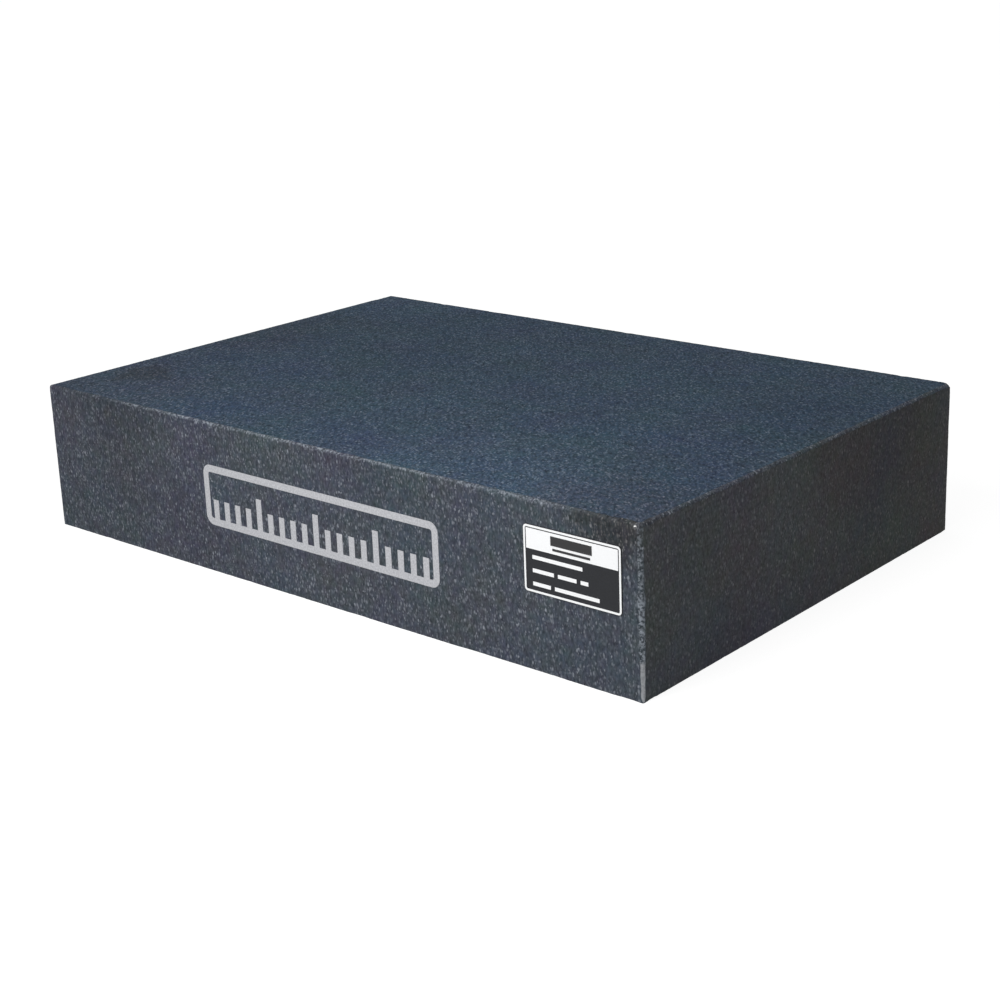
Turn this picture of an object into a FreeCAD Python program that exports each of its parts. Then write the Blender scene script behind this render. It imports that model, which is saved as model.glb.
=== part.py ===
import FreeCAD, Part
import os

# Granite surface plate: one solid slab of black granite, lapped flat on top, with a data label and
# a printed mark on its long front.
# Millimetres, +Z up. X runs along the front, Y runs from the front to the back, and the origin is the
# middle of the base, on the surface that the plate stands on.

# Slab
SLAB_LENGTH = 300.0
SLAB_WIDTH = 200.0
SLAB_HEIGHT = 60.0
TOP_EDGE_BREAK = 1.2
UPRIGHT_EDGE_BREAK = 1.0
BASE_EDGE_BREAK = 0.4

# Data label: a thin film stuck to the front, near its right end
LABEL_LENGTH = 40.0
LABEL_HEIGHT = 23.4
LABEL_THICKNESS = 0.3
LABEL_CORNER_RADIUS = 1.5
LABEL_FROM_RIGHT_END = 7.5
LABEL_FROM_TOP = 8.7

# White print on the label: a border line, a header field and three rows of bars
PRINT_THICKNESS = 0.1
BORDER_FROM_RIM = 0.2
BORDER_LINE = 0.7
HEADER_CLEARANCE = 0.4
HEADER_HEIGHT = 7.0
ROW_BAR_HEIGHT = 1.3
ROW_SPACING = 4.6
FIRST_ROW_BELOW_HEADER = 2.7
ROW_INDENT = 2.5
WORD_GAP = 1.7
WORD_LENGTHS_BY_ROW = [[20.6], [8.8, 7.6, 3.1], [7.4, 18.2]]

# Black print on the header field: a bar over a thin line, both centred
HEADER_BAR_LENGTH = 16.8
HEADER_BAR_HEIGHT = 3.2
HEADER_BAR_FROM_FIELD_TOP = 1.0
HEADER_LINE_LENGTH = 15.3
HEADER_LINE_HEIGHT = 0.8
HEADER_LINE_BELOW_BAR = 0.9

# Mark printed on the stone: a plain rule, drawn as an outline with graduations inside it
MARK_LENGTH = 120.6
MARK_HEIGHT = 24.0
MARK_THICKNESS = 0.1
MARK_CENTRE_FROM_MIDDLE = 3.9
MARK_ABOVE_BASE = 19.2
MARK_OUTLINE = 2.8
MARK_CORNER_RADIUS = 3.8
DIVISION_COUNT = 20
DIVISIONS_PER_LONG_TICK = 5
TICK_WIDTH = 2.8
SHORT_TICK_HEIGHT = 7.6
LONG_TICK_HEIGHT = 12.4

FRONT_Y = -SLAB_WIDTH / 2
LABEL_LEFT = SLAB_LENGTH / 2 - LABEL_FROM_RIGHT_END - LABEL_LENGTH
LABEL_LOW = SLAB_HEIGHT - LABEL_FROM_TOP - LABEL_HEIGHT
FIELD_INSET = BORDER_FROM_RIM + BORDER_LINE + HEADER_CLEARANCE
FIELD_LEFT = LABEL_LEFT + FIELD_INSET
FIELD_LENGTH = LABEL_LENGTH - 2 * FIELD_INSET
FIELD_TOP = LABEL_LOW + LABEL_HEIGHT - FIELD_INSET
FIELD_LOW = FIELD_TOP - HEADER_HEIGHT


def break_edges(shape, size, chosen):
    """Chamfers the edges for which chosen(edge's lowest and highest corner) holds."""
    edges = [edge for edge in shape.Edges if chosen(edge.BoundBox)]
    return shape.makeChamfer(size, edges)


def front_tile(left, low, length, height, standoff, thickness, radius=0.0):
    """A thin tile parallel to the front face, whose back lies standoff in front of that face."""
    corner = FreeCAD.Vector(left, FRONT_Y - standoff - thickness, low)
    tile = Part.makeBox(length, thickness, height, corner)
    if radius == 0.0:
        return tile
    corner_edges = [edge for edge in tile.Edges if edge.BoundBox.YLength > thickness / 2]
    return tile.makeFillet(radius, corner_edges)


def granite_slab():
    """The stone: a block with its upright edges, its working face's rim and its base's rim broken."""
    corner = FreeCAD.Vector(-SLAB_LENGTH / 2, FRONT_Y, 0)
    block = Part.makeBox(SLAB_LENGTH, SLAB_WIDTH, SLAB_HEIGHT, corner)
    middle = SLAB_HEIGHT / 2
    block = break_edges(block, UPRIGHT_EDGE_BREAK, lambda box: box.ZLength > middle)
    block = break_edges(block, TOP_EDGE_BREAK, lambda box: box.ZLength < middle < box.ZMin)
    return break_edges(block, BASE_EDGE_BREAK, lambda box: box.ZMax < BASE_EDGE_BREAK)


def label_plate():
    """The label's black film, stuck flat on the stone."""
    return front_tile(
        LABEL_LEFT, LABEL_LOW, LABEL_LENGTH, LABEL_HEIGHT, 0.0, LABEL_THICKNESS, LABEL_CORNER_RADIUS
    )


def label_tile(left, low, length, height, radius=0.0):
    """A tile of white print on the label's film."""
    return front_tile(left, low, length, height, LABEL_THICKNESS, PRINT_THICKNESS, radius)


def label_border(inset):
    """The label's outline, drawn in by inset, as a tile of print with corners that follow the film's."""
    return label_tile(
        LABEL_LEFT + inset,
        LABEL_LOW + inset,
        LABEL_LENGTH - 2 * inset,
        LABEL_HEIGHT - 2 * inset,
        LABEL_CORNER_RADIUS - inset,
    )


def word_bars():
    """Plain bars in rows, one bar for each word of a label."""
    bars = []
    for row, lengths in enumerate(WORD_LENGTHS_BY_ROW):
        left = FIELD_LEFT + ROW_INDENT
        low = FIELD_LOW - FIRST_ROW_BELOW_HEADER - row * ROW_SPACING - ROW_BAR_HEIGHT / 2
        for length in lengths:
            bars.append(label_tile(left, low, length, ROW_BAR_HEIGHT))
            left += length + WORD_GAP
    return bars


def label_white_print():
    """The label's white border line, header field and rows of bars."""
    line = label_border(BORDER_FROM_RIM).cut(label_border(BORDER_FROM_RIM + BORDER_LINE))
    field = label_tile(FIELD_LEFT, FIELD_LOW, FIELD_LENGTH, HEADER_HEIGHT)
    return Part.makeCompound([*line.Solids, field, *word_bars()])


def header_tile(low, length, height):
    """A tile of black print, centred on the header field."""
    left = FIELD_LEFT + (FIELD_LENGTH - length) / 2
    return front_tile(left, low, length, height, LABEL_THICKNESS + PRINT_THICKNESS, PRINT_THICKNESS)


def label_black_print():
    """The bar and the thin line on the header field."""
    bar_low = FIELD_TOP - HEADER_BAR_FROM_FIELD_TOP - HEADER_BAR_HEIGHT
    line_low = bar_low - HEADER_LINE_BELOW_BAR - HEADER_LINE_HEIGHT
    bar = header_tile(bar_low, HEADER_BAR_LENGTH, HEADER_BAR_HEIGHT)
    line = header_tile(line_low, HEADER_LINE_LENGTH, HEADER_LINE_HEIGHT)
    return Part.makeCompound([bar, line])


def mark_tile(inset):
    """The mark's outline, drawn in by inset, as a tile of paint."""
    return front_tile(
        MARK_CENTRE_FROM_MIDDLE - MARK_LENGTH / 2 + inset,
        MARK_ABOVE_BASE + inset,
        MARK_LENGTH - 2 * inset,
        MARK_HEIGHT - 2 * inset,
        0.0,
        MARK_THICKNESS,
        MARK_CORNER_RADIUS - inset,
    )


def mark_tick(division):
    """One upright graduation, which stands on the outline's lower line."""
    is_long = division % DIVISIONS_PER_LONG_TICK == 0
    height = MARK_OUTLINE + (LONG_TICK_HEIGHT if is_long else SHORT_TICK_HEIGHT)
    centre = MARK_CENTRE_FROM_MIDDLE + MARK_LENGTH * (division / DIVISION_COUNT - 0.5)
    left = centre - TICK_WIDTH / 2
    return front_tile(left, MARK_ABOVE_BASE, TICK_WIDTH, height, 0.0, MARK_THICKNESS)


def front_mark():
    """The printed rule: a rounded outline and one tick at each division between its ends."""
    outline = mark_tile(0.0).cut(mark_tile(MARK_OUTLINE))
    ticks = [mark_tick(division) for division in range(1, DIVISION_COUNT)]
    return outline.multiFuse(ticks).removeSplitter()


NODES = {
    "granite_slab": granite_slab,
    "label_plate": label_plate,
    "label_white_print": label_white_print,
    "label_black_print": label_black_print,
    "front_mark": front_mark,
}

os.makedirs("parts", exist_ok=True)
for name, make in NODES.items():
    shape = make()
    shape.exportStep(f"parts/{name}.step")
    solids = len(shape.Solids)
    print(f"{name}: {solids} solids, {shape.Volume:.3f} cubic mm, valid {shape.isValid()}")
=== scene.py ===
"""A black granite surface plate in a plain studio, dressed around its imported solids.

The stone is a closed shell whose broken edges are worked out as whole arrays. The label and the printed
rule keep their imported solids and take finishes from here. Lengths are metres, +Z is up and the long
labelled side faces -Y.
"""

import logging
import math
from dataclasses import dataclass
from itertools import product

import bpy
import numpy as np
from mathutils import Matrix, Vector


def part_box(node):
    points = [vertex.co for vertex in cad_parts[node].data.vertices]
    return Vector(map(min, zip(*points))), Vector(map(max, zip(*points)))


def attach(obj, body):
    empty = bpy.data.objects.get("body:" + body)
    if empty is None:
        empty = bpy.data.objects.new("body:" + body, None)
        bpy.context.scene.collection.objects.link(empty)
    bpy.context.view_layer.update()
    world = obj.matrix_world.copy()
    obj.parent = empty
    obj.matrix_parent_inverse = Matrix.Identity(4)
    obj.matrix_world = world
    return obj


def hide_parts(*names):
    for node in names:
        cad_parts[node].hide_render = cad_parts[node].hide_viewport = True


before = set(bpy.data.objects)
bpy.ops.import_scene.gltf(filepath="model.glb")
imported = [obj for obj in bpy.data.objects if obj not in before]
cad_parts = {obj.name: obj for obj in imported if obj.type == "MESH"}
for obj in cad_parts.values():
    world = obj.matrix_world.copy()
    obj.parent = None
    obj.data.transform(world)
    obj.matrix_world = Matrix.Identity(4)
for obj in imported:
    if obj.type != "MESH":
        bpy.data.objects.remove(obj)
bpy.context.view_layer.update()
MM = 0.001
# The last edge attribute marks painted highlights: white spots at two corners.
EDGE_ATTRIBUTES = ("bruise", "fresh", "painted_glint")

Socket = bpy.types.NodeSocket
Material = bpy.types.Material
Object = bpy.types.Object
Pair = tuple[float, float]
Triple = tuple[float, float, float]
Colour = tuple[float, float, float, float]
Cuts = tuple[float, float, float, float]
log = logging.getLogger("surface_plate")


def shown(red: float, green: float, blue: float) -> Colour:
    """Turn a colour as a screen shows it into the linear colour that a shader takes.

    Formula: a channel c from 0 to 255 becomes ((c / 255 + 0.055) / 1.055) to the power 2.4, or
    c / 255 / 12.92 where it is very dark.

    Args:
        red: Red from 0 to 255.
        green: Green from 0 to 255.
        blue: Blue from 0 to 255.

    Returns:
        Linear red, green and blue with an alpha of 1.
    """
    share = np.array([red, green, blue]) / 255.0
    linear = np.where(share > 0.04045, ((share + 0.055) / 1.055) ** 2.4, share / 12.92)
    return (*linear.tolist(), 1.0)


def smooth_step(values: np.ndarray, start: float, end: float) -> np.ndarray:
    """Rise from 0 at start to 1 at end as 3 t squared less 2 t cubed, flat outside.

    Args:
        values: Any array.
        start: The value where the rise begins.
        end: The value where it ends; below start, the step falls instead.

    Returns:
        An array of the same shape, from 0 to 1.
    """
    share = np.clip((values - start) / (end - start), 0.0, 1.0)
    return share * share * (3.0 - 2.0 * share)


def hashed(cells: np.ndarray, seed: int) -> np.ndarray:
    """Give each whole-numbered cell a value that looks random and is the same in every run.

    Formula: the three cell numbers and the seed are mixed by multiplying with large odd numbers and folding
    the high bits onto the low ones, and the low 32 bits are divided by 2 to the power 32.

    Args:
        cells: Cell numbers, with x, y and z along the last axis.
        seed: Picks one of many such fields.

    Returns:
        Values from 0 to 1, one for each cell.
    """
    factors = np.array([0x9E3779B97F4A7C15, 0xC2B2AE3D27D4EB4F, 0x165667B19E3779F9], dtype=np.uint64)
    mixed = (cells.astype(np.int64).view(np.uint64) * factors).sum(-1, dtype=np.uint64)
    mixed = (mixed + np.uint64(seed)) * np.uint64(0xFF51AFD7ED558CCD)
    mixed = (mixed ^ (mixed >> np.uint64(33))) * np.uint64(0xC4CEB9FE1A85EC53)
    mixed = mixed ^ (mixed >> np.uint64(29))
    return (mixed & np.uint64(0xFFFFFFFF)).astype(float) / 2.0**32


def smooth_noise(points: np.ndarray, wavelength: float, seed: int) -> np.ndarray:
    """Give values from -1 to 1 that vary smoothly through space.

    Formula: space is cut into cubes as wide as the wavelength. The eight corners of a point's cube carry
    hashed values, blended with the weights 3 t squared less 2 t cubed, t being its place in the cube.

    Args:
        points: Points, with x, y and z along the last axis.
        wavelength: The cubes' width, in the points' units.
        seed: Picks one of many such fields.

    Returns:
        One value for each point.
    """
    scaled = points / wavelength
    cells = np.floor(scaled).astype(np.int64)
    weight = smooth_step(scaled - cells, 0.0, 1.0)[..., None, :]
    corners = np.array(list(product((0, 1), repeat=3)))
    values = hashed(cells[..., None, :] + corners, seed)
    shares = np.where(corners == 1, weight, 1.0 - weight).prod(-1)
    return 2.0 * (values * shares).sum(-1) - 1.0


@dataclass(frozen=True)
class Wave:
    """One wave of noise: its level, and its length in metres."""

    level: float
    length: float


def waves(points: np.ndarray, layers: tuple[Wave, ...], seed: int) -> np.ndarray:
    """Add up waves of noise, each with a seed one higher than the last."""
    return sum(layer.level * smooth_noise(points, layer.length, seed + n) for n, layer in enumerate(layers))


@dataclass(frozen=True)
class Stretch:
    """A stretch that fades in over one pair of values and out over another."""

    rise: Pair
    fall: Pair

    def over(self, values: np.ndarray) -> np.ndarray:
        """Give 1 inside the stretch and 0 outside it."""
        return smooth_step(values, *self.rise) * smooth_step(values, *self.fall)


class Graph:
    """The node tree of a material or of the world, with short ways to add nodes and join them."""

    def __init__(self, owner: Material | bpy.types.World) -> None:
        """Start with an empty tree."""
        owner.use_nodes = True
        self.owner = owner
        self.tree = owner.node_tree
        self.tree.nodes.clear()

    @classmethod
    def material(cls, name: str) -> "Graph":
        """Start a new material of that name."""
        return cls(bpy.data.materials.new(name))

    def add(self, kind: str, inputs: dict | None = None, **settings: object) -> bpy.types.Node:
        """Add a node.

        Args:
            kind: The node's type name, without ShaderNode in front.
            inputs: Input name or number to a constant, or to a socket that is joined to it.
            **settings: The node's own properties.

        Returns:
            The new node.
        """
        node = self.tree.nodes.new("ShaderNode" + kind)
        for name, value in settings.items():
            setattr(node, name, value)
        for key, value in (inputs or {}).items():
            if isinstance(value, Socket):
                self.tree.links.new(value, node.inputs[key])
            else:
                node.inputs[key].default_value = value
        return node

    def place(self) -> Socket:
        """Give the piece's own coordinates, in metres."""
        return self.add("TexCoord").outputs["Object"]

    def math(self, operation: str, *values: float | Socket) -> Socket:
        """Join numbers with one math operation.

        Args:
            operation: Blender's name for it, such as MULTIPLY.
            *values: One to three constants or sockets.

        Returns:
            The result.
        """
        return self.add("Math", dict(enumerate(values)), operation=operation).outputs[0]

    def ramp(self, value: Socket, low: float, high: float) -> Socket:
        """Turn a number into a share, smoothly and held at both ends.

        Args:
            value: The number.
            low: Where the share is 0.
            high: Where it is 1.

        Returns:
            The share.
        """
        inputs = {"Value": value, "From Min": low, "From Max": high}
        return self.add("MapRange", inputs, interpolation_type="SMOOTHSTEP").outputs[0]

    def blend(
        self, share: float | Socket, first: Colour | Socket, second: Colour | Socket, how: str = "MIX"
    ) -> Socket:
        """Blend two colours, by the node's inputs and output for colours, which Blender tells by number.

        Args:
            share: How much of the second, from 0 to 1.
            first: The colour at a share of 0.
            second: The colour that is blended in.
            how: Blender's name for the way, such as MIX or MULTIPLY.

        Returns:
            The blended colour.
        """
        return self.add("Mix", {0: share, 6: first, 7: second}, data_type="RGBA", blend_type=how).outputs[2]

    def vector(self, operation: str, *values: Triple | Socket) -> Socket:
        """Join vectors or colours with one vector operation.

        Args:
            operation: Blender's name for it, such as MULTIPLY_ADD.
            *values: One to three constants or sockets.

        Returns:
            The result, a number for DISTANCE and a vector for the others.
        """
        node = self.add("VectorMath", dict(enumerate(values)), operation=operation)
        return node.outputs["Value" if operation == "DISTANCE" else "Vector"]

    def noise(self, place: Socket, size: float, detail: float = 0.0) -> Socket:
        """Give smooth noise from about 0.2 to 0.8.

        Args:
            place: Where it is read.
            size: The width of its patches, in metres.
            detail: How many finer layers are added.

        Returns:
            The noise.
        """
        return self.add("TexNoise", {"Vector": place, "Scale": 1.0 / size, "Detail": detail}).outputs["Fac"]

    def warped(self, place: Socket, size: float, reach: float, detail: float = 0.0) -> Socket:
        """Move a place along each axis by noise less a half, times a reach.

        Args:
            place: The place.
            size: The width of the noise's patches, in metres.
            reach: How far the place would move if the noise went from 0 to 1.
            detail: How many finer layers the noise has.

        Returns:
            The moved place.
        """
        sway = self.add("TexNoise", {"Vector": place, "Scale": 1.0 / size, "Detail": detail}).outputs["Color"]
        sway = self.vector("MULTIPLY_ADD", sway, (reach,) * 3, (-0.5 * reach,) * 3)
        return self.vector("ADD", place, sway)

    def worked_surface(
        self, colour: Socket, height: Socket, finish: "GraniteFinish | PrintFinish"
    ) -> Material:
        """Close the tree with a colour, and with a height under the finish's relief, roughness and gloss."""
        bump = self.add("Bump", {"Height": height, "Distance": finish.relief, "Strength": 1.0}).outputs[0]
        return self.surface(
            Base_Color=colour, Roughness=finish.roughness, Specular_IOR_Level=finish.gloss, Normal=bump
        )

    def surface(self, **inputs: float | Colour | Socket) -> Material:
        """Close the tree with a principled shader.

        Args:
            **inputs: Its inputs, with an underscore for each space.

        Returns:
            The finished material.
        """
        named = {name.replace("_", " "): value for name, value in inputs.items()}
        shader = self.add("BsdfPrincipled", named)
        self.add("OutputMaterial", {"Surface": shader.outputs[0]})
        return self.owner


@dataclass(frozen=True)
class LathFamily:
    """Crystals that lean roughly the same way, some coarser than others."""

    lean: float
    heading: float
    shift: float
    size: float = 1.0

    def turn(self) -> Triple:
        """Give the turn that carries +X to the crystals' long axis."""
        return (0.0, -math.radians(self.lean), math.radians(self.heading))


UPRIGHT_LATHS = (
    LathFamily(lean=87.0, heading=20.0, shift=0.0),
    LathFamily(lean=79.0, heading=140.0, shift=0.31, size=0.75),
    LathFamily(lean=70.0, heading=255.0, shift=0.77, size=1.35),
)
FLAT_LATHS = (
    LathFamily(lean=4.0, heading=130.0, shift=0.0),
    LathFamily(lean=10.0, heading=104.0, shift=0.31, size=0.85),
    LathFamily(lean=-8.0, heading=154.0, shift=0.77, size=1.15),
)


@dataclass(frozen=True)
class StainAndLightPatch:
    """A soft patch that darkens, lightens or tints the stone, serving for real stains and for painted light
    and shade.
    """

    place: Triple
    radius: float
    tint: Colour


# Front patches. Painted shade: the two wide darkening patches centred above the top edge, at 72 and 85 mm,
# make the front and its top edge darker towards the top. The rest are the stone's own tone and stains.
FRONT_STAINS_AND_SHADE = (
    StainAndLightPatch((-0.112, -0.100, 0.057), 9.0 * MM, (0.86, 0.84, 0.77, 1.0)),
    StainAndLightPatch((-0.106, -0.100, 0.072), 46.0 * MM, (0.79, 0.80, 0.83, 1.0)),
    StainAndLightPatch((0.030, -0.100, 0.085), 52.0 * MM, (0.88, 0.88, 0.90, 1.0)),
    StainAndLightPatch((-0.108, -0.100, 0.030), 30.0 * MM, (0.94, 0.92, 0.93, 1.0)),
    StainAndLightPatch((-0.070, -0.100, 0.020), 22.0 * MM, (0.93, 0.95, 0.95, 1.0)),
    StainAndLightPatch((-0.050, -0.100, 0.030), 20.0 * MM, (1.05, 1.06, 1.06, 1.0)),
    StainAndLightPatch((0.137, -0.100, 0.055), 19.0 * MM, (0.67, 0.61, 0.54, 1.0)),
)
# Top patches. Painted light: the three lighter patches along the front edge and the darker one at the back
# right lay the light's falloff from front to back into the colour. The rest are the stone's own tone and
# stains.
TOP_STAINS_AND_LIGHT = (
    StainAndLightPatch((-0.130, -0.066, 0.060), 18.0 * MM, (0.83, 0.78, 0.71, 1.0)),
    StainAndLightPatch((-0.150, 0.010, 0.060), 50.0 * MM, (1.04, 0.94, 0.93, 1.0)),
    StainAndLightPatch((-0.130, 0.100, 0.060), 55.0 * MM, (1.17, 1.18, 1.18, 1.0)),
    StainAndLightPatch((-0.040, 0.000, 0.060), 55.0 * MM, (0.94, 0.95, 0.95, 1.0)),
    StainAndLightPatch((0.140, 0.025, 0.060), 46.0 * MM, (0.87, 0.89, 0.90, 1.0)),
    StainAndLightPatch((0.075, -0.090, 0.060), 60.0 * MM, (1.14, 1.14, 1.14, 1.0)),
    StainAndLightPatch((0.130, -0.090, 0.060), 40.0 * MM, (1.13, 0.99, 0.97, 1.0)),
    StainAndLightPatch((-0.120, -0.085, 0.060), 55.0 * MM, (1.12, 1.02, 1.02, 1.0)),
)
# End patches. Painted light and shade: the lighter patch at the near corner and the darker, browner ones
# towards the far end lay the light's falloff along the end into the colour. The two small patches in between
# are the stone's own tone.
END_STAINS_AND_SHADE = (
    StainAndLightPatch((0.150, -0.100, 0.060), 30.0 * MM, (1.10, 1.08, 1.08, 1.0)),
    StainAndLightPatch((0.150, 0.050, 0.076), 75.0 * MM, (0.83, 0.81, 0.84, 1.0)),
    StainAndLightPatch((0.150, -0.015, 0.036), 28.0 * MM, (1.03, 1.03, 1.01, 1.0)),
    StainAndLightPatch((0.150, -0.055, 0.006), 28.0 * MM, (0.92, 0.92, 0.94, 1.0)),
    StainAndLightPatch((0.150, 0.090, 0.020), 130.0 * MM, (0.96, 0.91, 0.84, 1.0)),
)


@dataclass(frozen=True)
class GraniteFinish:
    """Fine black granite: dark ground, light crystal laths, soft clouds of tint, and patches of stain and of
    painted light and shade.
    """

    name: str
    ground: Colour
    crystal: Colour
    families: tuple[LathFamily, ...] = UPRIGHT_LATHS
    stains_and_light: tuple[StainAndLightPatch, ...] = ()
    lath_length: float = 1.2 * MM
    lath_width: float = 0.6 * MM
    lath_rarity: float = 12.0
    lath_fade: Pair = (0.85, 0.15)
    clump_size: float = 3.0 * MM
    clump_level: float = 1.0
    drift_size: float = 1.6 * MM
    drift: float = 0.4 * MM
    grain_size: float = 0.85 * MM
    grain_level: float = 1.8
    cloud_size: float = 32.0 * MM
    cloud_level: float = 0.36
    mottle_size: float = 3.5 * MM
    mottle_level: float = 0.25
    crystal_level: float = 0.8
    ragged_size: float = 9.0 * MM
    ragged_reach: float = 30.0 * MM
    patch_core: float = 0.35
    roughness: float = 0.7
    gloss: float = 0.05
    relief: float = 0.02 * MM

    def laths(self, graph: Graph, place: Socket) -> Socket:
        """Give the light crystals: each family is a field of long cells, each lit by its own amount.

        Formula: a cell's light is a random draw to the power of the rarity, fading from its core to its
        rim. The brightest family shows, stronger in some small clumps than in others.

        Args:
            graph: The material's tree.
            place: The stone's coordinates, slightly warped.

        Returns:
            0 in the ground and about 1 in the brightest crystal.
        """
        families = []
        for family in self.families:
            shift = (family.shift,) * 3
            length, width = family.size * self.lath_length, family.size * self.lath_width
            size = (length, width, width)
            inputs = {"Vector": place, "Location": shift, "Rotation": family.turn(), "Scale": size}
            turned = graph.add("Mapping", inputs, vector_type="TEXTURE")
            cell = graph.add("TexVoronoi", {"Vector": turned.outputs[0], "Scale": 1.0})
            draw = graph.add("SeparateColor", {0: cell.outputs["Color"]}).outputs[0]
            core = graph.ramp(cell.outputs["Distance"], *self.lath_fade)
            families.append(graph.math("MULTIPLY", graph.math("POWER", draw, self.lath_rarity), core))
        lit = families[0]
        for family in families[1:]:
            lit = graph.math("MAXIMUM", lit, family)
        clump = graph.math("SUBTRACT", graph.noise(place, self.clump_size, 1.0), 0.5)
        return graph.math("MULTIPLY", lit, graph.math("MULTIPLY_ADD", clump, 2.0 * self.clump_level, 1.0))

    def with_stains_and_light(self, graph: Graph, place: Socket, colour: Socket) -> Socket:
        """Lay the patches of stain and of painted light and shade over a colour.

        Args:
            graph: The material's tree.
            place: The stone's coordinates.
            colour: The colour without the patches.

        Returns:
            The colour with the patches laid over.
        """
        ragged = graph.warped(place, self.ragged_size, self.ragged_reach, detail=3.0)
        for each_patch in self.stains_and_light:
            away = graph.vector("DISTANCE", ragged, each_patch.place)
            share = graph.ramp(away, each_patch.radius, self.patch_core * each_patch.radius)
            # Each patch multiplies in its tint: a stain, or painted light or shade.
            colour = graph.blend(share, colour, graph.blend(1.0, colour, each_patch.tint, "MULTIPLY"))
        return colour

    @staticmethod
    def tint(graph: Graph, place: Socket, size: float, level: float, detail: float) -> Socket:
        """Give soft patches of tint, which each darken or lighten red, green and blue by their own amount.

        Args:
            graph: The material's tree.
            place: The stone's coordinates.
            size: The width of the patches.
            level: How far the tint strays from white.
            detail: How many finer layers the patches have.

        Returns:
            A colour near white.
        """
        cloud = graph.add("TexNoise", {"Vector": place, "Scale": 1.0 / size, "Detail": detail})
        return graph.vector("MULTIPLY_ADD", cloud.outputs["Color"], (level,) * 3, (1.0 - 0.5 * level,) * 3)

    def stone_colour(self, graph: Graph, place: Socket) -> tuple[Socket, Socket]:
        """Give the stone's colour and the height of its fine relief.

        Args:
            graph: The material's tree.
            place: The stone's coordinates.

        Returns:
            The colour, and a height from 0 to about 1.
        """
        laths = self.laths(graph, graph.warped(place, self.drift_size, self.drift))
        drawn_out = (self.lath_length / self.lath_width, 1.0, 1.0)
        inputs = {"Vector": place, "Rotation": self.families[0].turn(), "Scale": drawn_out}
        stretched = graph.add("Mapping", inputs, vector_type="TEXTURE").outputs[0]
        grain = graph.noise(stretched, self.grain_size, detail=2.0)
        dark = graph.math("MULTIPLY_ADD", graph.math("SUBTRACT", grain, 0.5), self.grain_level, 1.0)
        clouds = self.tint(graph, place, self.cloud_size, self.cloud_level, detail=2.0)
        mottle = self.tint(graph, place, self.mottle_size, self.mottle_level, detail=1.0)
        colour = graph.blend(1.0, graph.blend(1.0, self.ground, clouds, "MULTIPLY"), mottle, "MULTIPLY")
        colour = graph.blend(1.0, colour, dark, "MULTIPLY")
        colour = graph.blend(graph.math("MULTIPLY", laths, self.crystal_level), colour, self.crystal)
        return self.with_stains_and_light(graph, place, colour), graph.math("ADD", laths, grain)

    def material(self) -> Material:
        """Make the finish of a flat face."""
        graph = Graph.material(self.name)
        colour, height = self.stone_colour(graph, graph.place())
        return graph.worked_surface(colour, height, self)


@dataclass(frozen=True)
class BrokenEdgeFinish(GraniteFinish):
    """The same stone along its broken edges, where bruised crystals show light."""

    bruised: Colour = shown(148, 155, 164)
    fresh: Colour = shown(166, 169, 173)
    # Painted highlight: the white of the corner glint spots.
    painted_glint: Colour = shown(246, 246, 246)
    bruise_size: float = 0.9 * MM
    bruise_range: Pair = (0.40, 0.62)
    dust_level: float = 0.25

    def material(self) -> Material:
        """Make the finish, which reads the edge attributes bruise, fresh and painted_glint of the shell; the
        last paints highlights white.
        """
        graph = Graph.material(self.name)
        place = graph.place()
        colour, height = self.stone_colour(graph, place)
        bruise, fresh, painted_glint = [
            graph.add("Attribute", attribute_name=name).outputs["Fac"] for name in EDGE_ATTRIBUTES
        ]
        spots = graph.ramp(graph.noise(place, self.bruise_size, 3.0), *self.bruise_range)
        colour = graph.blend(graph.math("MULTIPLY", spots, bruise), colour, self.bruised)
        dusty = graph.math("MULTIPLY_ADD", spots, self.dust_level, 1.0 - self.dust_level)
        colour = graph.blend(fresh, colour, graph.blend(1.0, dusty, self.fresh, "MULTIPLY"))
        # Painted highlight: white laid over the corner glint spots.
        colour = graph.blend(painted_glint, colour, self.painted_glint)
        return graph.worked_surface(colour, height, self)


# Painted reflection: the faces are one stone, but the top's ground and crystals are tinted strong blue and
# the front's a lighter blue, standing for a reflection of bluish light; the end keeps a near-grey ground.
GROUND_LONG = GraniteFinish(
    "granite_ground_long",
    ground=shown(65, 70, 79),
    crystal=shown(142, 147, 156),
    stains_and_light=FRONT_STAINS_AND_SHADE,
    crystal_level=0.74,
)
GROUND_END = GraniteFinish(
    "granite_ground_end",
    ground=shown(71, 74, 78),
    crystal=shown(130, 133, 137),
    stains_and_light=END_STAINS_AND_SHADE,
    lath_length=1.1 * MM,
    lath_width=0.7 * MM,
    grain_level=1.4,
    mottle_level=0.2,
    crystal_level=0.45,
    gloss=0.03,
)
# Painted reflection: the blue of this ground and crystal stands for bluish light reflected by the top.
LAPPED = GraniteFinish(
    "granite_lapped",
    ground=shown(50, 64, 79),
    crystal=shown(122, 134, 149),
    families=FLAT_LATHS,
    stains_and_light=TOP_STAINS_AND_LIGHT,
    lath_length=1.55 * MM,
    lath_width=0.68 * MM,
    lath_rarity=8.0,
    grain_size=0.95 * MM,
    grain_level=2.2,
    mottle_level=0.2,
    crystal_level=0.54,
    roughness=0.6,
    gloss=0.01,
    relief=0.006 * MM,
)
SAWN = GraniteFinish("granite_sawn", ground=shown(67, 71, 77), crystal=shown(126, 131, 137), roughness=0.85)
BROKEN = BrokenEdgeFinish(
    "granite_broken",
    ground=shown(65, 70, 78),
    crystal=shown(142, 147, 156),
    stains_and_light=FRONT_STAINS_AND_SHADE,
    roughness=0.8,
    gloss=0.02,
)
STONE_FINISHES = (BROKEN, LAPPED, SAWN, GROUND_LONG, GROUND_END)


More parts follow.
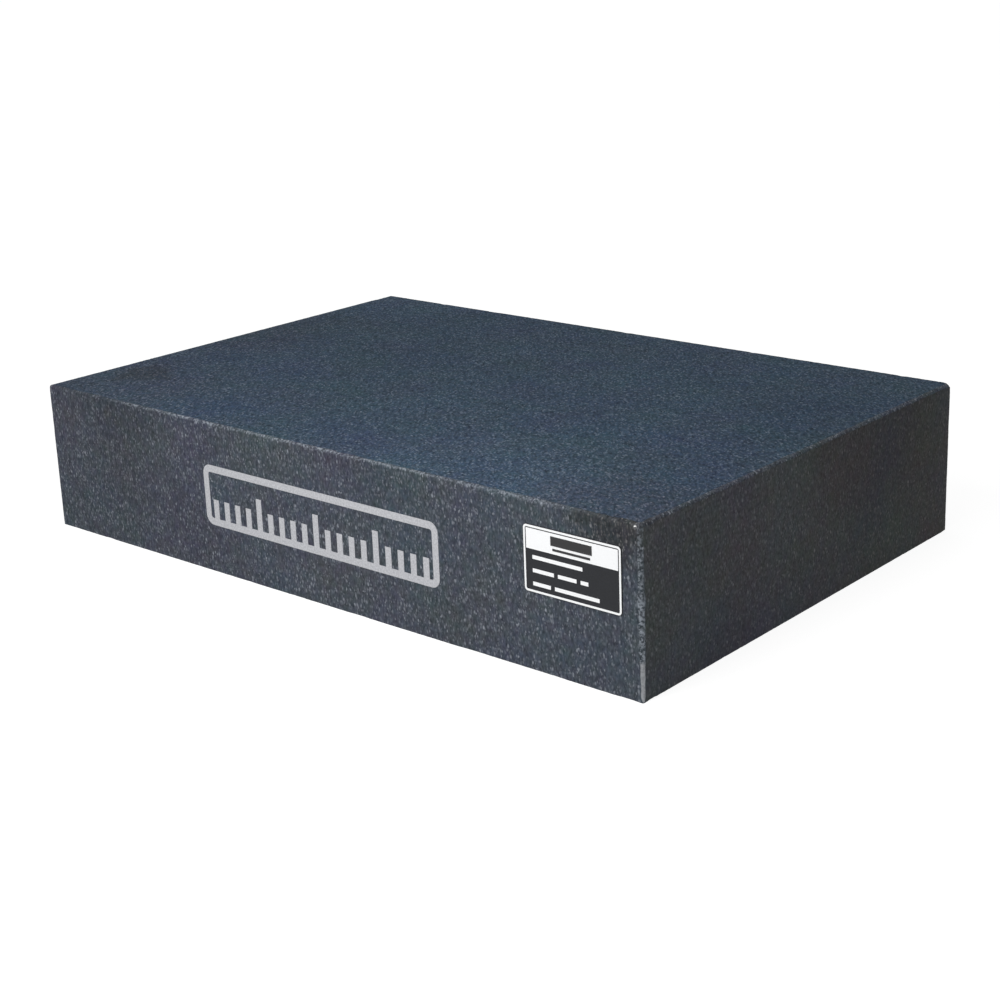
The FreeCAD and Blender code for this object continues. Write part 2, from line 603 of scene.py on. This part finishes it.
@dataclass(frozen=True)
class PrintFinish:
    """A film of ink or paint with a faint grain."""

    name: str
    colour: Colour
    worn: Colour
    grain_size: float
    grain_level: float
    roughness: float
    gloss: float = 0.3
    relief: float = 0.004 * MM
    grain_range: Pair = (0.7, 0.3)

    def material(self) -> Material:
        """Make the finish: two tones of the film, mixed by fine noise, which also gives its relief."""
        graph = Graph.material(self.name)
        grain = graph.noise(graph.place(), self.grain_size, 2.0)
        share = graph.math("MULTIPLY", graph.ramp(grain, *self.grain_range), self.grain_level)
        colour = graph.blend(share, self.colour, self.worn)
        return graph.worked_surface(colour, grain, self)


@dataclass(frozen=True)
class StudioFinish:
    """A matt floor that looks nearly white with a faint shadow, and throws less light back than it shows."""

    glow: float = 0.87
    looks: Colour = (0.29, 0.29, 0.29, 1.0)
    throws: Colour = (0.50, 0.50, 0.50, 1.0)

    def material(self) -> Material:
        """Make the floor's finish."""
        graph = Graph.material("studio_floor")
        seen = seen_straight(graph)
        colour = graph.blend(seen, self.throws, self.looks)
        return graph.surface(
            Base_Color=colour,
            Roughness=1.0,
            Specular_IOR_Level=0.0,
            Emission_Color=(1.0, 1.0, 1.0, 1.0),
            Emission_Strength=graph.math("MULTIPLY", seen, self.glow),
        )


def seen_straight(graph: Graph) -> Socket:
    """Tell whether a ray comes from the camera, a reflection or a see-through piece.

    Args:
        graph: The tree that needs it.

    Returns:
        1 for such a ray and 0 for any other.
    """
    path = graph.add("LightPath")
    seen = graph.math("MAXIMUM", path.outputs["Is Camera Ray"], path.outputs["Is Glossy Ray"])
    return graph.math("MAXIMUM", seen, path.outputs["Is Transmission Ray"])


@dataclass
class Outline:
    """The stone's plan at one level: a rectangle with its four corners cut.

    It is walked anticlockwise from the front side's left end. The cuts are measured along the sides, in the
    order near right, far right, far left, near left. The near right cut leans: it is longer by that share on
    the front side, and shorter by it on the end.
    """

    half: np.ndarray
    cuts: Cuts
    lean: float
    side_columns: tuple[int, int]
    cut_columns: int

    def corners(self) -> np.ndarray:
        """Give the eight corners of the cut rectangle."""
        x, y = self.half
        near_right, far_right, far_left, near_left = self.cuts
        return np.array(
            [
                (near_left - x, -y),
                (x - near_right * (1.0 + self.lean), -y),
                (x, near_right * (1.0 - self.lean) - y),
                (x, y - far_right),
                (x - far_right, y),
                (far_left - x, y),
                (-x, y - far_left),
                (-x, near_left - y),
            ]
        )

    def columns(self) -> np.ndarray:
        """Give the number of columns along each of the eight edges, which are sides and cuts in turn."""
        long_side, short_side = self.side_columns
        return np.array([long_side, self.cut_columns, short_side, self.cut_columns] * 2)

    def walk(self) -> tuple[np.ndarray, np.ndarray]:
        """Give the points round the outline, and how each moves when the outline shrinks by one unit.

        Formula: an outline corner between edges with outward normals a and b moves by
        -(a + b) / (1 + a.b), and the points between two corners share out their corners' moves evenly.

        Returns:
            Points and moves, each an array of columns by two.
        """
        corners = self.corners()
        following = np.roll(corners, -1, axis=0)
        along = following - corners
        along /= np.linalg.norm(along, axis=1, keepdims=True)
        normal = np.column_stack([along[:, 1], -along[:, 0]])
        before = np.roll(normal, 1, axis=0)
        move = -(normal + before) / (1.0 + (normal * before).sum(1, keepdims=True))
        counts = self.columns()
        edge = np.repeat(np.arange(8), counts)
        share = (np.arange(counts.sum()) - np.repeat(np.cumsum(counts) - counts, counts)) / counts[edge]
        share = share[:, None]
        points = corners[edge] * (1.0 - share) + following[edge] * share
        moves = move[edge] * (1.0 - share) + np.roll(move, -1, axis=0)[edge] * share
        return points, moves


@dataclass(frozen=True)
class Chip:
    """A place where handling broke more off an edge, with its reach along it and depth into the faces."""

    place: Pair
    reach: float
    depth: float


@dataclass(frozen=True)
class PaintedGlint:
    """A white spot painted on a corner: a painted highlight where a glint shows."""

    place: Triple
    radius: float
    level: float


@dataclass(frozen=True)
class Wear:
    """How far an upright edge wavers, is nicked and is rounded off, as shares of its cut."""

    wobble: float
    nick: float
    round_off: float


@dataclass(frozen=True)
class BruiseLevels:
    """How light the crystals are bruised: round the rims, on the uprights and up the near one."""

    rim: float = 0.09
    bright: float = 0.51
    spared: float = 0.05
    patchy: float = 2.2
    calmer: float = 1.2
    lean: float = 1.5
    base: float = 0.15
    upright: float = 0.2
    near: float = 0.90
    near_drop: float = 0.15
    high_zone: Pair = (20.0 * MM, 45.0 * MM)
    end_side: Pair = (0.45, 1.0)
    end_loss: float = 0.7
    tip_zone: Pair = (49.0 * MM, 56.0 * MM)
    tip_loss: float = 0.55


@dataclass
class Slab:
    """The stone: flat faces between broken edges, chipped by handling."""

    low: Vector
    high: Vector
    top_break: float = 1.1 * MM
    base_break: float = 0.2 * MM
    top_cuts: Cuts = (1.6 * MM, 1.0 * MM, 0.8 * MM, 0.65 * MM)
    low_cuts: Cuts = (1.25 * MM, 0.95 * MM, 0.8 * MM, 0.65 * MM)
    foot_cuts: Cuts = (0.45 * MM, 0.8 * MM, 0.7 * MM, 0.6 * MM)
    foot_height: float = 2.5 * MM
    near_lean: float = 0.15
    foot_lean: float = -0.55
    column_width: float = 0.36 * MM
    cut_columns: int = 7
    top_rows: int = 8
    base_rows: int = 3
    upright_row: float = 0.4 * MM
    seed: int = 100
    ripples: tuple[Wave, ...] = (Wave(0.07, 2.6 * MM), Wave(0.08, 0.8 * MM))
    front_ripple: float = 1.5
    rippled_front: Pair = (3.0 * MM, 1.0 * MM)
    nick_depth: float = 0.5 * MM
    nick_spacing: float = 5.0 * MM
    nick_range: Pair = (0.65, 1.0)
    chip_core: float = 0.3
    pits: Wave = Wave(0.12, 0.9 * MM)
    swell: float = 0.15
    near_wear: Wear = Wear(wobble=0.08, nick=0.3, round_off=0.16)
    other_wear: Wear = Wear(wobble=0.04, nick=0.1, round_off=0.35)
    wobble_lengths: Pair = (3.0 * MM, 0.8 * MM)
    upright_nick_spacing: float = 7.0 * MM
    upright_nick_range: Pair = (0.55, 0.95)
    calm_ends: Stretch = Stretch((0.0, 0.03), (1.0, 0.97))
    fresh_end: Pair = (12.0 * MM, 14.0 * MM)
    fresh_line: Wave = Wave(1.5 * MM, 2.0 * MM)
    bruises: BruiseLevels = BruiseLevels()
    bruised_front: Pair = (2.0 * MM, 1.0 * MM)
    bright_stretch: Stretch = Stretch((0.125, 0.185), (0.99, 0.75))
    bruised_width: Stretch = Stretch((0.0, 0.15), (1.0, 0.85))
    patches: tuple[Wave, ...] = (Wave(0.3, 14.0 * MM), Wave(0.4, 3.5 * MM), Wave(0.5, 1.3 * MM))
    glint_core: float = 0.4
    chips: tuple[Chip, ...] = (
        Chip(place=(0.1440, -0.1000), reach=5.0 * MM, depth=0.5 * MM),
        Chip(place=(0.1500, -0.0950), reach=3.0 * MM, depth=0.3 * MM),
        Chip(place=(0.1000, -0.1000), reach=28.0 * MM, depth=0.45 * MM),
        Chip(place=(0.0790, -0.1000), reach=8.0 * MM, depth=0.35 * MM),
        Chip(place=(0.0240, -0.1000), reach=6.0 * MM, depth=0.25 * MM),
        Chip(place=(-0.1190, -0.1000), reach=4.0 * MM, depth=0.3 * MM),
        Chip(place=(0.1500, 0.0990), reach=3.0 * MM, depth=0.5 * MM),
    )
    # Painted highlights: white spots at two corners, where glints show.
    painted_glints: tuple[PaintedGlint, ...] = (
        PaintedGlint(place=(0.1477, -0.1000, 0.05875), radius=0.70 * MM, level=0.9),
        PaintedGlint(place=(-0.1488, -0.0990, 0.05930), radius=0.90 * MM, level=0.45),
    )

    def outline(self, cuts: Cuts, lean: float) -> Outline:
        """Give the stone's plan with the given corner cuts and lean."""
        size = self.high - self.low
        half = np.array([size.x, size.y]) / 2.0
        columns = (round(size.x / self.column_width), round(size.y / self.column_width))
        return Outline(half, cuts, lean, columns, self.cut_columns)

    def near_front(self, y: np.ndarray, zone: Pair) -> np.ndarray:
        """Rise from 0 to 1 towards the front, between two distances from it."""
        far, near = zone
        return smooth_step(y, self.low.y + far, self.low.y + near)

    def legs(self, points: np.ndarray, nominal: float, seed: int) -> np.ndarray:
        """Give how far a broken edge reaches into a face, along the whole outline.

        Formula: the nominal width, times 1 plus two waves of noise, which are stronger along the handled
        front, plus a nick where a third, slower wave passes a threshold, plus each chip's depth, which fades
        from its middle to its reach.

        Args:
            points: The outline's points.
            nominal: The width before it varies.
            seed: Picks the noise.

        Returns:
            One width for each point.
        """
        ripple = waves(points, self.ripples, seed)
        ripple *= 1.0 + self.front_ripple * self.near_front(points[:, 1], self.rippled_front)
        nick = smooth_step(smooth_noise(points, self.nick_spacing, seed + 2), *self.nick_range)
        width = nominal * (1.0 + ripple) + min(self.nick_depth, nominal) * nick
        for chip in self.chips:
            away = np.linalg.norm(points[:, :2] - np.array(chip.place), axis=1)
            width += min(chip.depth, nominal) * smooth_step(away, chip.reach, self.chip_core * chip.reach)
        return width

    def rim(
        self, outline: Outline, level: float, nominal: float, rows: int, inward: float, seed: int
    ) -> np.ndarray:
        """Give the broken edge round the top or the base.

        Formula: the outline shrinks from nothing to the inset while the height goes from the drop to the
        face's level, on a straight line, which swells a little in the middle and is pitted by noise.

        Args:
            outline: The stone's plan before the edge is broken.
            level: The height of the flat face.
            nominal: The width of the broken edge.
            rows: How many strips make its width.
            inward: -1 where the stone is below the face, 1 where it is above.
            seed: Picks the noise.

        Returns:
            Rows by columns by three, from the walls to the face.
        """
        points, moves = outline.walk()
        flat = np.column_stack([points, np.full(len(points), level)])
        drop = self.legs(flat, nominal, seed)
        inset = self.legs(flat, nominal, seed + 10)
        share = np.linspace(0.0, 1.0, rows + 1)[:, None]
        plan = points + (share * inset)[..., None] * moves
        height = level + inward * (1.0 - share) * drop
        line = np.concatenate([plan, height[..., None]], axis=-1)
        pitted = waves(line, (self.pits,), seed + 20)
        press = nominal * (pitted - self.swell) * np.sin(np.pi * share)
        line[..., :2] += press[..., None] * moves
        line[..., 2] += inward * press
        return line

    def upright(self, corner: int, base_line: np.ndarray, top_line: np.ndarray, seed: int) -> np.ndarray:
        """Give the rows of one broken upright edge, between the two rims.

        Formula: a row lies at an even share of the height between the two lines. Its cut grows within the
        foot height from the foot's cut to the low one, and steps to the top one where the fresh stone ends.
        Each of its points is moved from or towards the corner by noise, and outwards by a half wave across
        the row, and both die out at the edge's ends. The near edge's cut also leans: it is wider on the
        front at the top and wider on the end face at the bottom.

        Args:
            corner: Which corner, counted anticlockwise from near right.
            base_line: The base rim's points across this edge.
            top_line: The top rim's points across it.
            seed: Picks the noise.

        Returns:
            Rows by columns by three, without the two given lines.
        """
        count = round((top_line[0, 2] - base_line[0, 2]) / self.upright_row)
        near = corner == 0
        share = (np.arange(1, count) / count)[:, None, None]
        rows = base_line + (top_line - base_line) * share
        signs = np.array([(1, -1), (1, 1), (-1, 1), (-1, -1)])[corner]
        sharp = signs * self.top_outline().half
        away = rows[..., :2] - sharp
        top_cut, low_cut, foot_cut = self.top_cuts[corner], self.low_cuts[corner], self.foot_cuts[corner]
        tilt = np.array([1.0, -1.0]) * near
        top_legs = top_cut * (1.0 + self.near_lean * tilt)
        foot_legs = foot_cut * (1.0 + self.foot_lean * tilt)
        straight = foot_legs + (top_legs - foot_legs) * share
        height = rows[..., 2:] - self.low.z
        wanted = low_cut + (top_cut - low_cut) * smooth_step(height, *self.fresh_end)
        wanted = wanted * (1.0 + self.near_lean * (2.0 * share - 1.0) * tilt)
        away = away * (1.0 + (wanted / straight - 1.0) * smooth_step(height, 0.0, self.foot_height))
        heights = np.zeros_like(rows)
        heights[..., 2] = rows[..., 2]
        wear = self.near_wear if near else self.other_wear
        slow, quick = self.wobble_lengths
        wobble = wear.wobble * (smooth_noise(heights, slow, seed) + smooth_noise(rows, quick, seed + 1))
        nicks = smooth_noise(heights, self.upright_nick_spacing, seed + 2)
        nick = wear.nick * smooth_step(nicks, *self.upright_nick_range)
        round_off = wear.round_off * np.sin(np.pi * np.linspace(0.0, 1.0, rows.shape[1]))
        calm = self.calm_ends.over(share[..., 0])
        away = away * (1.0 + (wobble + nick - round_off) * calm)[..., None]
        rows[..., :2] = sharp + away
        return rows

    def top_outline(self) -> Outline:
        """Give the stone's plan at the top."""
        return self.outline(self.top_cuts, self.near_lean)

    def foot_outline(self) -> Outline:
        """Give the stone's plan at the base."""
        return self.outline(self.foot_cuts, self.foot_lean)

    def shell(self) -> Object:
        """Build the closed shell and its edge attributes.

        Returns:
            The stone's object, at the origin.
        """
        top = self.rim(self.top_outline(), self.high.z, self.top_break, self.top_rows, -1.0, self.seed)
        base = self.rim(
            self.foot_outline(), self.low.z, self.base_break, self.base_rows, 1.0, self.seed + 100
        )
        columns = top.shape[1]
        base_index = np.arange(base.shape[0] * columns).reshape(base.shape[:2])
        top_index = base_index.size + np.arange(top.shape[0] * columns).reshape(top.shape[:2])
        counts = self.top_outline().columns()
        starts = np.cumsum(counts) - counts
        points = [base.reshape(-1, 3), top.reshape(-1, 3)]
        used = base_index.size + top_index.size
        uprights = []
        for corner in range(4):
            across = (starts[2 * corner + 1] + np.arange(self.cut_columns + 1)) % columns
            rows = self.upright(corner, base[0, across], top[0, across], self.seed + 200 + 10 * corner)
            inner = used + np.arange(rows.shape[0] * rows.shape[1]).reshape(rows.shape[:2])
            uprights.append(np.vstack([base_index[0, across], inner, top_index[0, across]]))
            points.append(rows.reshape(-1, 3))
            used += inner.size
        quads = [
            self.quads(top_index, closed=True),
            self.quads(base_index[::-1], closed=True),
            *[self.quads(index, closed=False) for index in uprights],
        ]
        broken = np.concatenate(quads).tolist()
        walls = [self.wall(side, starts, base_index[0], top_index[0], uprights) for side in range(4)]
        faces = [*broken, top_index[-1].tolist(), base_index[-1][::-1].tolist(), *walls]
        worked = [BROKEN] * len(broken) + [LAPPED, SAWN] + [GROUND_LONG, GROUND_END] * 2
        finish = [STONE_FINISHES.index(item) for item in worked]
        co = np.concatenate(points)
        mesh = bpy.data.meshes.new("granite_slab_stone")
        mesh.from_pydata(co, [], faces)
        mesh.polygons.foreach_set("material_index", finish)
        self.mark_edges(mesh, co, top_index, base_index, uprights)
        mesh.update()
        stone = bpy.data.objects.new("granite_stone", mesh)
        bpy.context.scene.collection.objects.link(stone)
        return stone

    @staticmethod
    def quads(index: np.ndarray, closed: bool) -> np.ndarray:
        """Join a grid of point numbers into four-sided faces.

        Args:
            index: Rows by columns, with the rows going up and the columns anticlockwise.
            closed: Whether the last column joins the first.

        Returns:
            Faces by four.
        """
        grid = np.hstack([index, index[:, :1]]) if closed else index
        corners = (grid[:-1, :-1], grid[:-1, 1:], grid[1:, 1:], grid[1:, :-1])
        return np.stack(corners, axis=-1).reshape(-1, 4)

    @staticmethod
    def wall(side: int, starts: np.ndarray, base_line: np.ndarray, top_line: np.ndarray,
             uprights: list[np.ndarray]) -> list[int]:
        """Give the flat wall of one side as a single face.

        Args:
            side: Which side, counted anticlockwise from the front.
            starts: The first column of each of the outline's eight edges.
            base_line: Point numbers of the base rim's line on the walls.
            top_line: Point numbers of the top rim's line on the walls.
            uprights: Point numbers of the four upright edges, from near right.

        Returns:
            The face's point numbers, anticlockwise from outside.
        """
        span = np.arange(starts[2 * side], starts[2 * side + 1] + 1)
        right_edge = uprights[side][1:-1, 0]
        left_edge = uprights[side - 1][1:-1, -1]
        return np.concatenate([base_line[span], right_edge, top_line[span][::-1], left_edge[::-1]]).tolist()

    def mark_edges(self, mesh: bpy.types.Mesh, co: np.ndarray, top_index: np.ndarray, base_index: np.ndarray,
                   uprights: list[np.ndarray]) -> None:
        """Store how bruised or freshly ground each point of the broken edges is, and where white painted
        highlights lie.

        Formula: bruising is 0 on the edge's two lines, rises as a half wave between them that leans towards
        the lapped face, and is made patchy by three waves of noise. Along the front it follows the bright
        stretch, and elsewhere it is weaker and patchier. Up the near edge it weakens with height and, on the
        end's side, more so, until the fresh stone takes its place at the foot.

        Args:
            mesh: The shell.
            co: Its points.
            top_index: Point numbers of the top rim.
            base_index: Point numbers of the base rim.
            uprights: Point numbers of the four upright edges.
        """
        bruise, fresh, painted_glint = np.zeros((3, len(co)))
        by = self.bruises
        across = np.sin(np.pi * np.linspace(0.0, 1.0, len(top_index)) ** by.lean)[:, None]
        rim = co[top_index]
        along = (rim[..., 0] - self.low.x) / (self.high.x - self.low.x)
        on_front = self.near_front(rim[..., 1], self.bruised_front)
        level = by.rim + (by.bright * self.bright_stretch.over(along) - by.spared) * on_front
        varied = 1.0 + (by.patchy - by.calmer * on_front) * waves(rim, self.patches, self.seed + 300)
        bruise[top_index] = np.clip(across * level * varied, 0.0, 1.0)
        bruise[base_index] = by.base * np.sin(np.pi * np.linspace(0.0, 1.0, len(base_index)))[:, None]
        for corner, index in enumerate(uprights):
            strip = co[index[1:-1]]
            place = np.linspace(0.0, 1.0, index.shape[1])
            over = self.bruised_width.over(place)
            if corner != 0:
                bruise[index[1:-1]] = by.upright * over
                continue
            ragged = strip[..., 2] + waves(strip, (self.fresh_line,), self.seed + 310)
            above_fresh = smooth_step(ragged, *self.fresh_end)
            high = smooth_step(strip[..., 2], *by.high_zone)
            faded = 1.0 - by.end_loss * high * smooth_step(place, *by.end_side)
            faded *= 1.0 - by.tip_loss * smooth_step(strip[..., 2], *by.tip_zone)
            bruise[index[1:-1]] = (by.near - by.near_drop * high) * over * faded * above_fresh
            fresh[index[1:-1]] = over * (1.0 - above_fresh)
        # Painted highlight: white spots round each glint place.
        for spot in self.painted_glints:
            away = np.linalg.norm(co - np.array(spot.place), axis=1)
            glint_share = smooth_step(away, spot.radius, self.glint_core * spot.radius)
            painted_glint = np.maximum(painted_glint, spot.level * glint_share)
        for name, values in zip(EDGE_ATTRIBUTES, (bruise, fresh, painted_glint)):
            attribute = mesh.attributes.new(name, "FLOAT", "POINT")
            attribute.data.foreach_set("value", values.astype(np.float32))

    def build(self) -> Object:
        """Build the stone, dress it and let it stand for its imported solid.

        Returns:
            The stone's object.
        """
        stone = self.shell()
        for finish in STONE_FINISHES:
            stone.data.materials.append(finish.material())
        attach(stone, "root")
        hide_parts("granite_slab")
        return stone


@dataclass
class DataLabel:
    """The label: a black film with a white border, a white header field and plain bars."""

    film: PrintFinish = PrintFinish(
        "label_film",
        shown(44, 45, 48),
        shown(49, 50, 53),
        grain_size=0.6 * MM,
        grain_level=0.6,
        roughness=0.45,
        gloss=0.1,
    )
    white: PrintFinish = PrintFinish(
        "label_white",
        shown(250, 251, 252),
        shown(245, 246, 247),
        grain_size=0.5 * MM,
        grain_level=0.5,
        roughness=0.5,
    )
    black: PrintFinish = PrintFinish(
        "label_black",
        shown(36, 36, 37),
        shown(46, 46, 46),
        grain_size=0.4 * MM,
        grain_level=0.6,
        roughness=0.5,
    )

    def build(self) -> list[Object]:
        """Dress the label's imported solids.

        Returns:
            The film, the white print and the black print.
        """
        parts = {"label_plate": self.film, "label_white_print": self.white, "label_black_print": self.black}
        return [dress(node, finish) for node, finish in parts.items()]


@dataclass
class FrontMark:
    """The rule printed straight on the stone, in light paint that lets the stone's grain show."""

    paint: PrintFinish = PrintFinish(
        "mark_paint",
        shown(194, 195, 199),
        shown(166, 167, 172),
        grain_size=0.7 * MM,
        grain_level=0.8,
        roughness=0.75,
        relief=0.02 * MM,
    )

    def build(self) -> list[Object]:
        """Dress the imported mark."""
        return [dress("front_mark", self.paint)]


def dress(node: str, finish: PrintFinish) -> Object:
    """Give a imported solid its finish.

    Args:
        node: The solid's node.
        finish: The finish it gets.

    Returns:
        The solid's object.
    """
    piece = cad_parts[node]
    piece.data.materials.clear()
    piece.data.materials.append(finish.material())
    return piece


@dataclass(frozen=True)
class DistantLamp:
    """A soft lamp that shines the same everywhere, by the light that it throws along each axis."""

    name: str
    towards: Triple
    spread: float

    def build(self) -> Object:
        """Hang the lamp.

        Formula: its strength is pi times the length of the towards vector, so that a matt white face turned
        to it renders at that length.

        Returns:
            The lamp's object.
        """
        data = bpy.data.lights.new(self.name, "SUN")
        direction = Vector(self.towards)
        data.energy = math.pi * direction.length
        data.angle = self.spread
        return hang(data, Vector(), direction)


@dataclass(frozen=True)
class PanelLamp:
    """A small square panel, by the light that it throws on what it is aimed at."""

    name: str
    place: Triple
    aim: Triple
    width: float
    level: float

    def build(self) -> Object:
        """Hang the lamp.

        Formula: its power is pi squared times the level times the square of its distance, so that a matt
        white face at its aim and turned to it renders at that level.

        Returns:
            The lamp's object.
        """
        data = bpy.data.lights.new(self.name, "AREA")
        direction = Vector(self.place) - Vector(self.aim)
        data.energy = math.pi**2 * self.level * direction.length_squared
        data.size = self.width
        lamp = hang(data, Vector(self.place), direction)
        lamp.visible_camera = False
        return lamp


def hang(data: bpy.types.Light, place: Vector, direction: Vector) -> Object:
    """Put a lamp in the scene.

    Args:
        data: The lamp.
        place: Where it hangs.
        direction: From what it lights towards it.

    Returns:
        The lamp's object.
    """
    lamp = bpy.data.objects.new(data.name, data)
    lamp.location = place
    lamp.rotation_mode = "QUATERNION"
    lamp.rotation_quaternion = direction.to_track_quat("Z", "Y")
    bpy.context.scene.collection.objects.link(lamp)
    return lamp


@dataclass
class Studio:
    """A wide pale floor, a white surround and soft neutral lamps."""

    floor_radius: float = 12.0
    floor_sides: int = 96
    dome_level: float = 0.40
    key: DistantLamp = DistantLamp("key_lamp", (-0.02, -0.40, 0.07), math.radians(50.0))
    fill: DistantLamp = DistantLamp("fill_lamp", (0.14, -0.01, 0.01), math.radians(60.0))
    near: PanelLamp = PanelLamp("near_lamp", (0.04, -0.25, 0.32), (0.04, -0.10, 0.06), width=0.2, level=0.81)

    def floor(self) -> Object:
        """Lay the floor: a disc whose rim is a circle round the origin, at the height of the stone's base."""
        angle = np.linspace(0.0, 2.0 * np.pi, self.floor_sides, endpoint=False)
        rim = self.floor_radius * np.column_stack([np.cos(angle), np.sin(angle), 0.0 * angle])
        mesh = bpy.data.meshes.new("studio_floor")
        mesh.from_pydata(rim, [], [list(range(self.floor_sides))])
        mesh.materials.append(StudioFinish().material())
        floor = bpy.data.objects.new("studio_floor", mesh)
        bpy.context.scene.collection.objects.link(floor)
        return floor

    def surround(self) -> None:
        """Light the scene evenly from all round, and let the surround look white."""
        world = bpy.data.worlds.new("studio_surround")
        graph = Graph(world)
        level = graph.math("MULTIPLY_ADD", seen_straight(graph), 1.0 - self.dome_level, self.dome_level)
        light = graph.add("Background", {"Color": (1.0, 1.0, 1.0, 1.0), "Strength": level})
        graph.add("OutputWorld", {"Surface": light.outputs[0]})
        bpy.context.scene.world = world

    def build(self) -> list[Object]:
        """Build the floor, the surround and the lamps.

        Returns:
            The floor and the lamps.
        """
        self.surround()
        return [self.floor(), self.key.build(), self.fill.build(), self.near.build()]


@dataclass
class Viewpoint:
    """The camera, as the photograph was taken."""

    place: Triple = (0.47072, -0.52698, 0.24787)
    azimuth: float = math.radians(40.579)
    elevation: float = math.radians(16.969)
    roll: float = math.radians(-1.912)
    focal_pixels: float = 1844.6
    axis_pixel: Pair = (526.6, 449.4)
    picture_pixels: float = 1000.0
    sensor: float = 36.0

    def build(self) -> Object:
        """Set up the camera.

        Formula: the lens in millimetres is the sensor's width times the focal length over the picture's
        width, both in pixels, and the shift is how far the optical axis lies from the middle, over the
        picture's width.

        Returns:
            The camera's object.
        """
        data = bpy.data.cameras.new("viewpoint")
        data.sensor_width = self.sensor
        data.lens = self.sensor * self.focal_pixels / self.picture_pixels
        middle = self.picture_pixels / 2.0
        data.shift_x = (middle - self.axis_pixel[0]) / self.picture_pixels
        data.shift_y = (self.axis_pixel[1] - middle) / self.picture_pixels
        turn = (
            Matrix.Rotation(self.azimuth, 4, "Z")
            @ Matrix.Rotation(math.pi / 2.0 - self.elevation, 4, "X")
            @ Matrix.Rotation(self.roll, 4, "Z")
        )
        camera = bpy.data.objects.new("viewpoint", data)
        camera.matrix_world = Matrix.Translation(self.place) @ turn
        bpy.context.scene.collection.objects.link(camera)
        bpy.context.scene.camera = camera
        return camera


def main() -> None:
    """Build the plate and the studio, and report each piece."""
    logging.basicConfig(level=logging.INFO, format="%(name)s: %(message)s")
    bpy.context.scene.view_settings.view_transform = "Standard"
    slab = Slab(*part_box("granite_slab"))
    pieces = [slab.build(), *DataLabel().build(), *FrontMark().build()]
    for piece in pieces:
        log.info("%s: %d faces", piece.name, len(piece.data.polygons))
    for item in (*Studio().build(), Viewpoint().build()):
        log.info("studio: %s", item.name)


if __name__ == "__main__":
    main()
